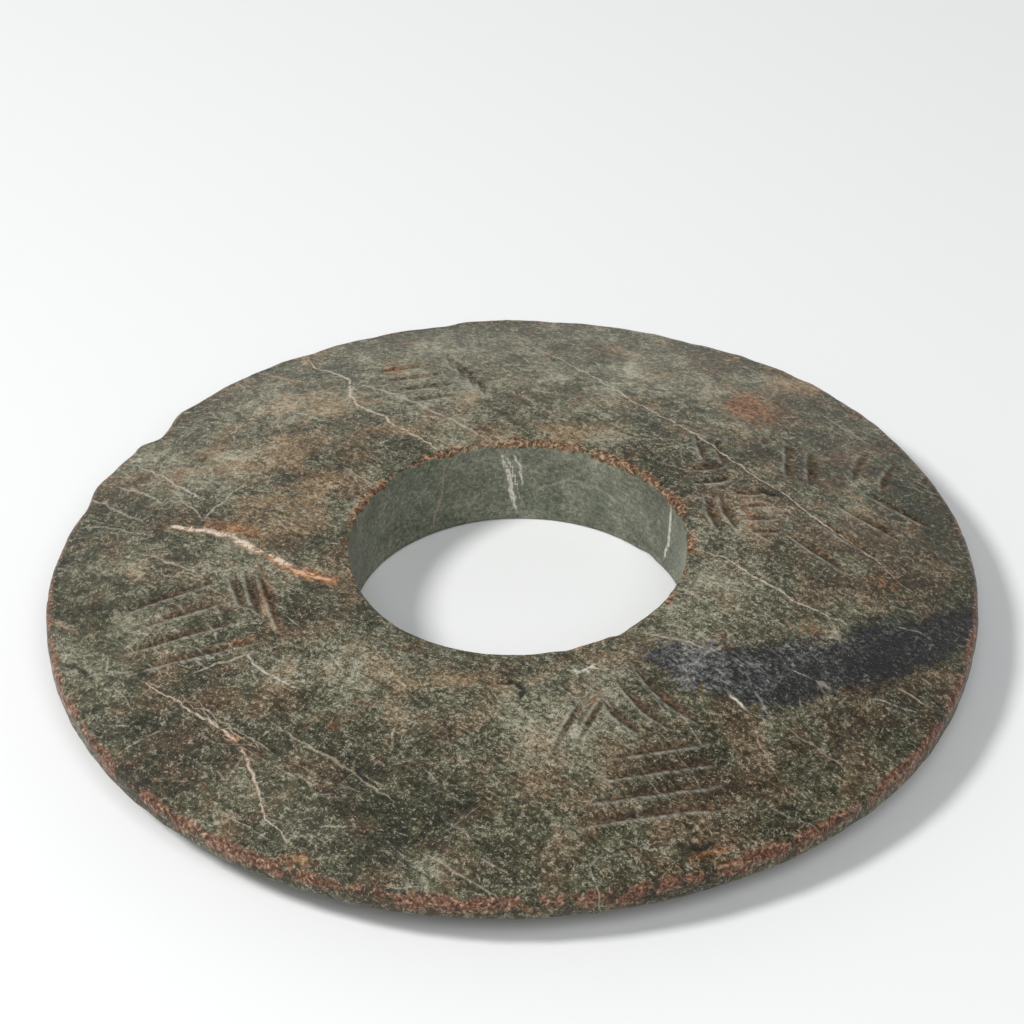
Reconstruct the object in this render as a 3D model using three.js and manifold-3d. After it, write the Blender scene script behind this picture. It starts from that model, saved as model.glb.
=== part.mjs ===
// Ancient jade bi disc: a flat ring of dark green stone with a large centre hole.
// Millimetres, +Z up, lying on its underside. The origin is on the surface it lies on,
// under the middle of its outline. +X is right and +Y is away from the usual viewer.

import * as THREE from "three";
import { mergeVertices } from "three/addons/utils/BufferGeometryUtils.js";
import Module from "manifold-3d";

// Driving sizes
const OUTER_DIAMETER = 200;
const HOLE_DIAMETER = 73;
const HOLE_SHIFT_X = 1.1; // the hole was drilled a little off the middle of the outline
const HOLE_SHIFT_Y = 1.2;
const THICKNESS = 21.1; // beside the hole, where the disc is thickest
const RIM_THICKNESS = 6.1;
const RIM_LIFT = 5.95; // from the surface the disc lies on to the underside of its rim
const RIM_ROUNDING = 2;
const HOLE_ROUNDING = 0.7;
const LEVEL_RING_WIDTH = 8.5; // both faces stay level this far out from the hole
const FACE_FALL = 1.6; // power of the curve by which the faces close in on the rim
const STROKE_WIDTH = 2;
const STROKE_DEPTH = 0.45;

// Fineness of the faceted solid
const COLUMNS = 80;
const TOP_ROWS = 9;
const UNDERSIDE_ROWS = 5;
const RIM_ROUNDING_ROWS = 3;
const STROKE_STEPS = 5;
const LEAST_COLUMN_GAP = 0.8; // degrees

// Unevenness of the outline, by angle in degrees from +X: depth is in millimetres inwards,
// and it eases out over the degrees before and after. A negative depth swells outwards.
const OUTLINE_DENTS = [
  { angle: 145.5, depth: 3.6, before: 7, after: 2.6 },
  { angle: 149.5, depth: 1, before: 3, after: 9 },
  { angle: 162, depth: 0.9, before: 4, after: 5 },
  { angle: 167, depth: 0.6, before: 10, after: 11 },
  { angle: 134, depth: 0.5, before: 4, after: 4 },
  { angle: 117, depth: 0.7, before: 4, after: 4 },
  { angle: 99, depth: 0.6, before: 3, after: 4 },
  { angle: 66, depth: 0.6, before: 5, after: 4 },
  { angle: 94, depth: -0.7, before: 12, after: 6 },
  { angle: 47, depth: -0.5, before: 20, after: 15 },
  { angle: -40, depth: -0.5, before: 25, after: 25 },
  { angle: -78, depth: 0.5, before: 25, after: 25 },
];

// The hole's own unevenness, given the same way: depth is away from the middle of the hole.
const HOLE_DENTS = [
  { angle: 188, depth: -0.7, before: 55, after: 45 },
  { angle: 20, depth: 0.2, before: 30, after: 30 },
];

// Chips out of the two edges of the hole
const UPPER_HOLE_CHIPS = [
  { angle: -53, depth: 1.1, before: 4, after: 6 },
  { angle: -72, depth: 0.4, before: 5, after: 5 },
  { angle: 172, depth: 0.4, before: 6, after: 6 },
];
const LOWER_HOLE_CHIPS = [
  { angle: 38, depth: 0.8, before: 5, after: 5 },
  { angle: 205, depth: 0.6, before: 6, after: 6 },
];

// Four worn places with rows of shallow incised strokes. A place's middle is given by its
// angle and by its share of the way from the hole to the rim. In a row, everything is a
// share of that same width: the first stroke's start, the step to the next start and the
// length. Heading and turn are degrees, and grow is the ratio of each length to the last.
const STROKE_PLACES = [
  {
    angle: 196,
    across: 0.57,
    rows: [
      { start: [-0.22, 0.11], step: [0.01, -0.1], length: 0.36, heading: 15, turn: -2.5,
        grow: 1.1, count: 4, weight: 1.1, bend: 0.02 },
      { start: [0.16, 0.25], step: [0.047, 0.006], length: 0.21, heading: -76, turn: 0,
        grow: 1.35, count: 3, weight: 1.3, bend: 0 },
    ],
  },
  {
    angle: 105,
    across: 0.5,
    rows: [
      { start: [-0.19, 0.1], step: [0.035, -0.082], length: 0.2, heading: 8, turn: 0,
        grow: 1, count: 4, weight: 1.2, bend: 0.03 },
      { start: [0.055, 0.22], step: [0.038, -0.072], length: 0.14, heading: -78, turn: 0,
        grow: 1, count: 4, weight: 1, bend: 0.04 },
    ],
  },
  {
    angle: 17,
    across: 0.51,
    rows: [
      { start: [-0.38, 0.33], step: [0.066, -0.03], length: 0.18, heading: -82, turn: 0,
        grow: 0.9, count: 2, weight: 1, bend: 0 },
      { start: [-0.42, 0.11], step: [0.008, -0.08], length: 0.14, heading: 16, turn: 0,
        grow: 1.1, count: 2, weight: 1.2, bend: -0.05 },
      { start: [-0.37, -0.02], step: [0.05, -0.01], length: 0.24, heading: -79, turn: 3,
        grow: 0.9, count: 2, weight: 1.4, bend: 0 },
      { start: [-0.27, -0.03], step: [0.013, -0.072], length: 0.12, heading: 8, turn: 0,
        grow: 1, count: 4, weight: 0.8, bend: 0 },
      { start: [-0.063, 0.33], step: [0.076, -0.047], length: 0.26, heading: -93, turn: 0,
        grow: 0.9, count: 2, weight: 1.3, bend: 0.03 },
      { start: [0.22, 0.33], step: [0.094, -0.047], length: 0.235, heading: -106, turn: 0,
        grow: 1, count: 2, weight: 1, bend: -0.04 },
      { start: [0.173, 0.063], step: [-0.094, -0.1], length: 0.28, heading: -36, turn: -3,
        grow: 1, count: 4, weight: 1.1, bend: 0.02 },
    ],
  },
  {
    angle: -66.5,
    across: 0.49,
    rows: [
      { start: [-0.047, 0.39], step: [-0.054, -0.079], length: 0.39, heading: -53, turn: 0,
        grow: 0.82, count: 3, weight: 1.2, bend: -0.07 },
      { start: [-0.126, 0.22], step: [-0.07, -0.016], length: 0.25, heading: -115, turn: 0,
        grow: 1, count: 2, weight: 0.9, bend: 0 },
      { start: [-0.14, -0.063], step: [-0.035, -0.088], length: 0.35, heading: 14, turn: -1,
        grow: 1.15, count: 4, weight: 1.2, bend: 0.02 },
    ],
  },
];

const outerRadius = OUTER_DIAMETER / 2;
const holeRadius = HOLE_DIAMETER / 2;
const levelRadius = holeRadius + LEVEL_RING_WIDTH;
const ringWidth = outerRadius - holeRadius;
const rounding = Math.min(RIM_ROUNDING, 0.4 * RIM_THICKNESS);
const holeEdge = Math.min(HOLE_ROUNDING, 0.4 * THICKNESS);

// How far a list of dents pulls the surface in at an angle in degrees.
function dentAt(dents, angle) {
  let total = 0;
  for (const dent of dents) {
    const away = THREE.MathUtils.euclideanModulo(angle - dent.angle + 180, 360) - 180;
    const reach = Math.abs(away) / (away < 0 ? dent.before : dent.after);
    if (reach < 1) total += dent.depth * (1 - reach * reach) ** 2;
  }
  return total;
}

// 0 on the level ring, rising to 1 where the rim starts to round over.
function fall(radius) {
  const share = (radius - levelRadius) / (outerRadius - rounding - levelRadius);
  return THREE.MathUtils.clamp(share, 0, 1) ** FACE_FALL;
}

function topHeight(radius) {
  return THREE.MathUtils.lerp(THICKNESS, RIM_LIFT + RIM_THICKNESS, fall(radius));
}

function undersideHeight(radius) {
  return THREE.MathUtils.lerp(0, RIM_LIFT, fall(radius));
}

// Distance from the origin to the hole's edge at an angle, for a hole of the given radius.
function holeReach(angle, radius) {
  const radians = THREE.MathUtils.degToRad(angle);
  const along = HOLE_SHIFT_X * Math.cos(radians) + HOLE_SHIFT_Y * Math.sin(radians);
  const across = HOLE_SHIFT_Y * Math.cos(radians) - HOLE_SHIFT_X * Math.sin(radians);
  return along + Math.sqrt(radius * radius - across * across);
}

// The closed section at one angle, as points of radius and height: up the rim, in over the
// top face, down the wall of the hole and out under the underside.
function sectionAt(angle) {
  const rim = outerRadius - dentAt(OUTLINE_DENTS, angle);
  const hole = holeReach(angle, holeRadius) + dentAt(HOLE_DENTS, angle);
  const upperChip = dentAt(UPPER_HOLE_CHIPS, angle);
  const lowerChip = dentAt(LOWER_HOLE_CHIPS, angle);
  const upperEdge = hole + holeEdge + upperChip;
  const lowerEdge = hole + holeEdge + lowerChip;
  const points = [];

  const middle = rim - rounding;
  const upperMiddle = topHeight(middle) - rounding;
  const lowerMiddle = undersideHeight(middle) + rounding;
  for (let row = 0; row <= RIM_ROUNDING_ROWS; row += 1) {
    const turn = ((row / RIM_ROUNDING_ROWS - 1) * Math.PI) / 2;
    points.push([middle + rounding * Math.cos(turn), lowerMiddle + rounding * Math.sin(turn)]);
  }
  for (let row = 0; row <= RIM_ROUNDING_ROWS; row += 1) {
    const turn = ((row / RIM_ROUNDING_ROWS) * Math.PI) / 2;
    points.push([middle + rounding * Math.cos(turn), upperMiddle + rounding * Math.sin(turn)]);
  }
  for (let row = 1; row <= TOP_ROWS; row += 1) {
    const radius = THREE.MathUtils.lerp(middle, levelRadius, row / TOP_ROWS);
    points.push([radius, topHeight(radius)]);
  }
  points.push([upperEdge, THICKNESS]);
  points.push([hole + 0.3 * (upperEdge - hole), THICKNESS - 0.3 * (holeEdge + upperChip)]);
  points.push([hole, THICKNESS - holeEdge - upperChip]);
  points.push([hole, holeEdge + lowerChip]);
  points.push([hole + 0.3 * (lowerEdge - hole), 0.3 * (holeEdge + lowerChip)]);
  points.push([lowerEdge, 0]);
  for (let row = 0; row < UNDERSIDE_ROWS; row += 1) {
    const radius = THREE.MathUtils.lerp(levelRadius, middle, row / UNDERSIDE_ROWS);
    points.push([radius, undersideHeight(radius)]);
  }
  return points;
}

// Evenly spaced angles, with more of them at the dents and chips.
function columnAngles() {
  const angles = [];
  for (const dent of [...OUTLINE_DENTS, ...UPPER_HOLE_CHIPS, ...LOWER_HOLE_CHIPS]) {
    angles.push(dent.angle, dent.angle - dent.before / 2, dent.angle + dent.after / 2);
  }
  for (let column = 0; column < COLUMNS; column += 1) angles.push((column * 360) / COLUMNS);
  const sorted = angles
    .map((angle) => THREE.MathUtils.euclideanModulo(angle, 360))
    .sort((one, other) => one - other);
  const kept = [];
  for (const angle of sorted) {
    const last = kept.length ? kept[kept.length - 1] : -LEAST_COLUMN_GAP;
    if (angle - last >= LEAST_COLUMN_GAP && 360 - angle >= LEAST_COLUMN_GAP) kept.push(angle);
    else if (angle === 0) kept.push(angle);
  }
  return kept;
}

// A turned ring whose every column of points is set to the section at its own angle.
function ringGeometry() {
  const angles = columnAngles();
  const first = sectionAt(angles[0]);
  const profile = [...first, first[0]].map(([radius, height]) => new THREE.Vector2(radius, height));
  const geometry = new THREE.LatheGeometry(profile, angles.length);
  const position = geometry.getAttribute("position");
  for (let column = 0; column <= angles.length; column += 1) {
    const angle = angles[column % angles.length];
    const section = sectionAt(angle);
    const radians = THREE.MathUtils.degToRad(angle);
    for (let row = 0; row < profile.length; row += 1) {
      const [radius, height] = section[row % section.length];
      position.setXYZ(
        column * profile.length + row,
        radius * Math.cos(radians),
        radius * Math.sin(radians),
        height,
      );
    }
  }
  return geometry;
}

// Depth of a stroke along its length, from 0 to 1: full in the middle, and running out just
// above the surface at both ends.
function strokeDepth(share) {
  const runOut = 0.12;
  return (1 + runOut) * Math.sqrt(Math.sin(Math.PI * share)) - runOut;
}

// The wedge that one stroke takes out of the top face.
function strokeGeometry(start, heading, length, weight, bend) {
  const width = STROKE_WIDTH * weight;
  const depth = STROKE_DEPTH * weight;
  const clear = 1; // the wedge stands this far above the face
  const along = new THREE.Vector2(Math.cos(heading), Math.sin(heading));
  const left = new THREE.Vector2(-along.y, along.x);
  const geometry = new THREE.CylinderGeometry(1, 1, 1, 3, STROKE_STEPS);
  const position = geometry.getAttribute("position");
  const sideOfCorner = Math.sin(Math.PI / 3);
  const point = new THREE.Vector2();
  for (let index = 0; index < position.count; index += 1) {
    const share = position.getY(index) + 0.5;
    const side = position.getX(index) / sideOfCorner;
    const down = (position.getZ(index) + 0.5) / 1.5;
    const cut = depth * strokeDepth(THREE.MathUtils.clamp(share, 0, 1));
    const halfWidth = ((width / 2) * (cut + clear)) / depth;
    const sway = bend * length * Math.sin(Math.PI * share);
    point
      .copy(start)
      .addScaledVector(along, share * length)
      .addScaledVector(left, sway);
    const height = topHeight(point.length()) + clear - down * (clear + cut);
    point.addScaledVector(left, side * halfWidth);
    position.setXYZ(index, point.x, point.y, height);
  }
  return geometry;
}

function strokeGeometries() {
  const strokes = [];
  for (const place of STROKE_PLACES) {
    const radians = THREE.MathUtils.degToRad(place.angle);
    const radius = holeRadius + place.across * ringWidth;
    const middle = new THREE.Vector2(Math.cos(radians), Math.sin(radians)).multiplyScalar(radius);
    for (const row of place.rows) {
      for (let stroke = 0; stroke < row.count; stroke += 1) {
        const start = new THREE.Vector2(
          middle.x + ringWidth * (row.start[0] + stroke * row.step[0]),
          middle.y + ringWidth * (row.start[1] + stroke * row.step[1]),
        );
        const heading = THREE.MathUtils.degToRad(row.heading + stroke * row.turn);
        const length = ringWidth * row.length * row.grow ** stroke;
        strokes.push(strokeGeometry(start, heading, length, row.weight, row.bend));
      }
    }
  }
  return strokes;
}

const wasm = await Module();
wasm.setup();

function solidFrom(geometry) {
  geometry.deleteAttribute("normal");
  geometry.deleteAttribute("uv");
  const merged = mergeVertices(geometry, 1e-4);
  return new wasm.Manifold(
    new wasm.Mesh({
      numProp: 3,
      vertProperties: new Float32Array(merged.getAttribute("position").array),
      triVerts: new Uint32Array(merged.index.array),
    }),
  );
}

function geometryFrom(solid) {
  const mesh = solid.getMesh();
  const geometry = new THREE.BufferGeometry();
  geometry.setAttribute("position", new THREE.BufferAttribute(mesh.vertProperties, 3));
  geometry.setIndex(new THREE.BufferAttribute(mesh.triVerts, 1));
  const faceted = geometry.toNonIndexed();
  faceted.computeVertexNormals();
  return faceted;
}

let stone = solidFrom(ringGeometry());
for (const stroke of strokeGeometries()) {
  stone = stone.subtract(solidFrom(stroke));
}

const jade = new THREE.MeshStandardMaterial({ color: 0x4d4c3d, roughness: 0.45, metalness: 0 });

const disc = new THREE.Mesh(geometryFrom(stone), jade);
disc.name = "bi_disc";

const part = new THREE.Group();
part.name = "jade_bi_disc";
part.add(disc);

export default part;
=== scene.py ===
import math
from types import SimpleNamespace

import bmesh
import bpy
import numpy as np
from mathutils import Matrix, Vector, noise


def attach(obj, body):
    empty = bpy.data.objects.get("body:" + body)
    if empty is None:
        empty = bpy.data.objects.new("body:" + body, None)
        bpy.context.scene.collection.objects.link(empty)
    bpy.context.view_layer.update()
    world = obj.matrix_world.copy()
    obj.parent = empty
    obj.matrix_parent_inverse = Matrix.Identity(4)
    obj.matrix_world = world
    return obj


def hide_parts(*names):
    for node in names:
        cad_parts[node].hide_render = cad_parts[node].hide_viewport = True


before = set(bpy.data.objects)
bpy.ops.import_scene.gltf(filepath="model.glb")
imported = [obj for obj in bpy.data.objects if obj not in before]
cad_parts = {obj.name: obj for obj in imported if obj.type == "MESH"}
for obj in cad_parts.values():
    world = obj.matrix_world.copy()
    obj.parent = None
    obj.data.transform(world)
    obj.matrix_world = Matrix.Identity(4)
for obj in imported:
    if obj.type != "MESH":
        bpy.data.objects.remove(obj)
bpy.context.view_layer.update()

MM = 0.001

# Sizes of the disc in millimetres, as in the frame
OUTER_RADIUS = 100
HOLE_RADIUS = 36.5
HOLE_SHIFT = (1.1, 1.2)
THICKNESS = 21.1
RIM_THICKNESS = 6.1
RIM_LIFT = 5.95
RIM_ROUNDING = 2
HOLE_ROUNDING = 0.7
LEVEL_RING_WIDTH = 8.5
FACE_FALL = 1.6
STROKE_WIDTH = 2
STROKE_DEPTH = 0.45
LIP_WIDTH = 0.45

LEVEL_RADIUS = HOLE_RADIUS + LEVEL_RING_WIDTH
RING_WIDTH = OUTER_RADIUS - HOLE_RADIUS

# Fineness of the mesh
COLUMNS = 500
TOP_ROWS = 84
UNDERSIDE_ROWS = 26
WALL_ROWS = 16
RIM_SIDE_ROWS = 3
ROUNDING_ROWS = 5

# Dents and chips: angle in degrees from +X, depth in millimetres, and the degrees over
# which each one eases out before and after.
OUTLINE_DENTS = [
    (145.5, 3.6, 7, 2.6), (149.5, 1, 3, 9), (162, 0.9, 4, 5), (167, 0.6, 10, 11),
    (134, 0.5, 4, 4), (117, 0.7, 4, 4), (99, 0.6, 3, 4), (66, 0.6, 5, 4),
    (94, -0.7, 12, 6), (47, -0.5, 20, 15), (-40, -0.5, 25, 25), (-78, 0.5, 25, 25),
]
HOLE_DENTS = [(188, -0.7, 55, 45), (20, 0.2, 30, 30)]
UPPER_HOLE_CHIPS = [(-53, 1.1, 4, 6), (-72, 0.4, 5, 5), (172, 0.4, 6, 6)]
LOWER_HOLE_CHIPS = [(38, 0.8, 5, 5), (205, 0.6, 6, 6)]

# Rows of shallow strokes in their four places, as in the frame. A place has its angle and
# its share of the way from the hole to the rim; a row has its first start, the step to the
# next, length, heading, turn, growth, count, weight and bend.
STROKE_PLACES = [
    (196, 0.57, [
        ((-0.22, 0.11), (0.01, -0.1), 0.36, 15, -2.5, 1.1, 4, 1.1, 0.02),
        ((0.16, 0.25), (0.047, 0.006), 0.21, -76, 0, 1.35, 3, 1.3, 0),
    ]),
    (105, 0.5, [
        ((-0.19, 0.1), (0.035, -0.082), 0.2, 8, 0, 1, 4, 1.2, 0.03),
        ((0.055, 0.22), (0.038, -0.072), 0.14, -78, 0, 1, 4, 1, 0.04),
    ]),
    (17, 0.51, [
        ((-0.38, 0.33), (0.066, -0.03), 0.18, -82, 0, 0.9, 2, 1, 0),
        ((-0.42, 0.11), (0.008, -0.08), 0.14, 16, 0, 1.1, 2, 1.2, -0.05),
        ((-0.37, -0.02), (0.05, -0.01), 0.24, -79, 3, 0.9, 2, 1.4, 0),
        ((-0.27, -0.03), (0.013, -0.072), 0.12, 8, 0, 1, 4, 0.8, 0),
        ((-0.063, 0.33), (0.076, -0.047), 0.26, -93, 0, 0.9, 2, 1.3, 0.03),
        ((0.22, 0.33), (0.094, -0.047), 0.235, -106, 0, 1, 2, 1, -0.04),
        ((0.173, 0.063), (-0.094, -0.1), 0.28, -36, -3, 1, 4, 1.1, 0.02),
    ]),
    (-66.5, 0.49, [
        ((-0.047, 0.39), (-0.054, -0.079), 0.39, -53, 0, 0.82, 3, 1.2, -0.07),
        ((-0.126, 0.22), (-0.07, -0.016), 0.25, -115, 0, 1, 2, 0.9, 0),
        ((-0.14, -0.063), (-0.035, -0.088), 0.35, 14, -1, 1.15, 4, 1.2, 0.02),
    ]),
]

# Stains of the top face in millimetres, some of them partly painted sheen: middle x and y,
# half length, half width, heading in degrees and strength.
STAINS = {
    # Paler, calmer zones, most of them at the back: partly smoother-looking stone and partly a
    # painted sheen
    "sleek": [
        (5, 78, 55, 24, 0, 1), (60, 55, 35, 20, -40, 0.8), (-30, 72, 22, 16, 20, 0.6),
        (-88, -12, 9, 18, 0, 0.7), (-75, 45, 18, 14, 50, 0.6),
    ],
    "russet": [
        (78, 6, 18, 12, 0, 1), (52, 12, 10, 12, 0, 0.6), (62, 30, 14, 8, -40, 0.7),
        (80, -55, 12, 12, 0, 0.8), (36, -70, 20, 12, 0, 0.7), (57, 56, 12, 8, 0, 0.7),
        (-62, -60, 14, 8, 0, 0.4), (-84, 20, 8, 8, 0, 0.4), (56, -66, 12, 8, 0, 0.5),
    ],
    # Pale patches of the stone; those at the back, towards the top band, are partly a painted sheen
    "pale": [
        (-10, 62, 18, 12, 0, 0.9), (10, 64, 14, 10, 0, 0.7), (-43, -37, 15, 8, -20, 0.9),
        (4, -55, 18, 9, 0, 0.8), (42, -24, 18, 7, -15, 0.8), (-76, -18, 5, 3.5, 15, 1),
        (-28, -44, 12, 7, 0, 0.6), (62, 32, 16, 10, 0, 0.4), (-22, 50, 14, 8, -30, 0.6),
        (32, 60, 16, 9, -20, 0.5), (-62, -4, 12, 7, -10, 0.5), (-66, -27, 14, 4, 12, 0.5),
        (13, -41, 4, 3, 0, 0.9), (22, -50, 8, 8, 0, 0.6), (30, -62, 14, 4, 12, 0.4),
        (0, 84, 26, 8, 0, 0.9), (50, 7, 10, 9, 0, 0.9), (42, 62, 18, 12, -30, 0.6),
        (-60, 55, 20, 14, 45, 0.7), (46, -12, 10, 8, -20, 1.4), (30, 42, 16, 8, -45, 0.7),
        (30, 64, 26, 14, -25, 0.8), (28, 51, 16, 9, -25, 0.9),
    ],
    "dark": [
        (-89, -14, 7, 15, 0, 1), (-76, -55, 12, 14, 30, 0.8), (-10, -82, 28, 9, 0, 0.8),
        (18, 80, 14, 6, 0, 0.8), (-85, 26, 8, 14, -20, 0.7), (62, -66, 15, 8, 40, 0.7),
        (-70, 45, 8, 6, 0, 0.5), (-30, 62, 3, 3, 0, 0.8), (-20, -68, 14, 6, 0, 0.5),
        (44, 3, 3, 12, 0, 0.4), (82, 45, 8, 12, 30, 0.5), (-47, -20, 5, 5, 0, 0.6),
    ],
    "tan": [
        (-46, 26, 11, 14, 0, 1), (-52, 38, 12, 9, 0, 1), (-42, 12, 9, 7, 0, 0.9),
        (-45, 60, 10, 9, 0, 0.7), (65, 69, 6, 5, 0, 0.9), (8, 41, 14, 3, 0, 0.9),
        (-26, 45, 4, 3, 0, 1), (70, 16, 5, 4, 0, 0.4),
        (-81, 1, 2, 2, 0, 0.9), (-58, -40, 14, 6, 0, 0.4), (-14, -44, 12, 3, 0, 0.6),
        (24, 80, 6, 3, 0, 0.5), (-28, 73, 8, 4, 0, 0.7), (-8, 58, 3, 4, 0, 0.6),
    ],
    "rust": [
        (53, 55.5, 5, 4.6, 20, 1.25), (78, 20, 5, 2, -30, 0.5), (88, 13, 4, 3, -30, 0.6),
        (79, -9, 4, 4, 0, 0.6), (60, -26, 6, 2, -20, 0.5), (-60, 10.5, 6, 2.2, -25, 1),
        (-42, -8, 6, 1.6, -25, 1),
        (37, -88, 4, 2, 20, 0.75), (-57, -55, 1.5, 1, 0, 1), (-27, 24, 2, 1.2, 30, 0.9),
        (-18, 33, 1.5, 1, 0, 0.9), (47, 31, 1.3, 0.9, 0, 0.9), (-36, -55, 1.6, 1.2, 0, 0.8),
        (-44, -87, 3, 2, 0, 0.5), (-30, -48, 6, 1.5, 10, 0.5), (-39, -10, 3, 1, -20, 0.9),
        (-26, 72.5, 3, 2, 0, 0.8), (-52, -14, 1.6, 11, 12, 0.8), (-60, -28, 6, 1.2, 12, 0.6),
        (52, 10, 2, 6, 10, 0.5), (16, -50, 1.4, 3, -20, 0.6), (58, 50, 6, 1.5, 60, 0.6),
    ],
}

# The blue-black band that crosses the right of the disc: x, upper edge and lower edge.
BAND_EDGES = [
    (26, -35, -35), (33, -32, -45), (45, -33.5, -48), (50, -33, -52), (58, -30, -49),
    (68, -28, -43), (75, -22, -41), (85, -19, -35), (93, -14, -27), (104, -9, -20),
]
BAND_LEAN = 0.35  # how far the band shifts for each millimetre deeper in the stone

# Pale veins: points in millimetres, half width, strength and warmth from white to orange.
VEINS = [
    ([(-76, 15.5), (-65, 11), (-60, 8), (-55, 3), (-50, -2), (-45.5, -5.6)], 1.45, 1, 0.5),
    ([(-53, 0.4), (-46, -6), (-41, -8.6), (-36, -10)], 1.25, 0.8, 1),
    ([(-68, 13), (-61, 8.8), (-56, 4.5), (-52, 0)], 0.7, 0.7, 0.2),
    ([(-47, 86), (-45, 79), (-40, 74), (-36, 69), (-36, 61), (-34, 56), (-28, 50), (-25, 45),
      (-20, 41), (-14, 34)], 0.4, 0.8, 0.25),
    ([(-37, 67), (-31, 64.5), (-24, 58), (-19, 54), (-15, 49), (-10, 45), (-3, 38)], 0.4, 0.7, 0.1),
    ([(-59, 81), (-53, 75.5), (-47, 71)], 0.5, 0.6, 0.5),
    ([(-4, 64), (5, 55), (10, 49), (16, 44), (26, 36)], 0.3, 0.4, 0.2),
    ([(2, 87), (9, 79), (14, 73), (20, 66), (26, 57.5), (33, 50), (40, 43), (46, 36), (50, 30),
      (54, 25), (60, 19), (66, 11), (70, 7), (75, 2), (83, -8), (88, -13)], 0.26, 0.8, 0.25),
    ([(68, 59), (75, 51), (82, 43)], 0.3, 0.6, 0.1),
    ([(89, 34), (93, 29)], 0.3, 0.6, 0.1),
    ([(38, -1), (46, -5), (50, -10), (55, -14), (60, -19), (66, -22), (72, -24)], 0.3, 0.8, 0.2),
    ([(36, -14), (41, -21)], 0.3, 0.6, 0.2),
    ([(26, -28.5), (35, -32), (41, -35.5)], 0.4, 0.7, 0.2),
    ([(43, -46), (48, -52)], 0.45, 1, 0),
    ([(48, -56), (52, -67)], 0.25, 0.6, 0.3),
    ([(54, -55), (61, -60), (68, -66)], 0.3, 0.5, 0.2),
    ([(78, -40), (87, -46)], 0.3, 0.7, 0.3),
    ([(-78, -34), (-73, -39), (-66, -46), (-60, -52), (-57, -55), (-54, -61), (-52, -68),
      (-50, -76), (-44, -84)], 0.35, 0.8, 0.35),
    ([(-67, -41), (-60, -50), (-48, -61)], 0.25, 0.6, 0.1),
    ([(-56, -29), (-53, -36), (-50, -38.5), (-43, -45)], 0.4, 0.8, 0.05),
    ([(-51, -50), (-45, -57), (-41, -60), (-36, -64), (-29, -71), (-23, -76)], 0.3, 0.6, 0.1),
    ([(-45, -65), (-40, -70)], 0.3, 0.5, 0.1),
    ([(-20, -87), (-14, -91), (-8, -96), (-2, -100)], 0.3, 0.6, 0.1),
    ([(-64, -20), (-61, -27)], 0.3, 0.7, 0),
    ([(-99, -9), (-91, -17)], 0.35, 0.6, 0.5),
    ([(-96, 22.5), (-88, 19), (-79, 13)], 0.35, 0.6, 0.1),
    ([(61, 52), (66, 53)], 0.5, 0.7, 0.4),
    ([(59, 44), (62, 42.5), (65, 44.5)], 0.4, 0.7, 0.1),
    ([(11, -39), (13, -42), (16, -40), (14, -44)], 0.5, 0.9, 0),
    ([(-68, -36), (-62, -33.5), (-53, -31)], 0.4, 0.7, 0.05),
    ([(-91, -30.5), (-84, -30.5), (-79, -32)], 0.35, 0.6, 0.05),
    ([(-76, -2), (-70, -4), (-64, -7)], 0.35, 0.5, 0.05),
    ([(-62, -55), (-52, -58)], 0.2, 0.3, 0.3),
    ([(-88, 36), (-81, 30), (-75, 23)], 0.34, 0.7, 0.05),
    ([(-95, 35), (-88, 27), (-80, 18)], 0.34, 0.65, 0.05),
    ([(-83, 43), (-75, 33), (-67, 23)], 0.36, 0.75, 0.05),
    ([(-76, 32), (-71, 23), (-66, 14)], 0.3, 0.65, 0.05),
    ([(-67.5, 14.5), (-62.5, 22), (-58, 28)], 0.34, 0.7, 0.05),
    ([(-81, 7.5), (-73, 1.5), (-65.5, -4.5)], 0.36, 0.7, 0.1),
]

# Dark natural clefts, given the same way, and their depth
CLEFTS = [
    ([(-2, -43), (0.5, -45), (2.2, -47), (1, -49), (1.8, -51)], 1.1, 1, 0),
    ([(-4, -44.5), (0.5, -45)], 0.8, 1, 0),
    ([(-96, -24), (-91, -27), (-87, -33)], 0.9, 0.8, 0),
    ([(30, -86), (36, -87), (41, -84)], 1.2, 0.8, 0),
    ([(53, 22), (56, 19), (60, 18)], 1, 0.7, 0),
]
CLEFT_DEPTH = 0.5

# Veins on the wall of the hole: degrees round the hole, height, and the rest as above.
WALL_VEINS = [
    ([(94, 20), (91, 14), (89.5, 8), (87, 1)], 0.75, 1.1, -0.1),
    ([(90, 20), (87, 15), (85, 8)], 0.42, 1, -0.1),
    ([(111, 21), (114.5, 10), (119, 0)], 0.28, 0.6, 0.3),
    ([(84, 7), (70, 12.5), (56, 11.5), (46, 9)], 0.5, 0.42, 0),
    ([(23, 21), (25, 14), (26, 8), (30, 2)], 0.7, 1.1, -0.1),
    ([(200, 19), (215, 9), (226, 2)], 0.5, 0.5, 0.1),
    ([(268, 20), (275, 12), (290, 3)], 0.4, 0.5, 0.2),
    ([(330, 18), (322, 8), (318, 1)], 0.5, 0.6, 0),
]

# Fine scratches strewn over both faces, most of them with one heading in degrees
HAIRS = 280
HAIR_SEED = 11
HAIR_HEADING = -48
HAIR_HEADING_SPREAD = 16
SHARE_OF_ALIGNED_HAIRS = 0.72

# Heights of the unevenness of the ground faces, in millimetres, from wide to fine
SWELL = 0.16
RIPPLE = 0.05
GRIT = 0.018
NIBBLE = 0.16  # along the rim and the crusted edge of the hole
WALL_SWELL = 0.12
WALL_RIPPLE = 0.03

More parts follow.
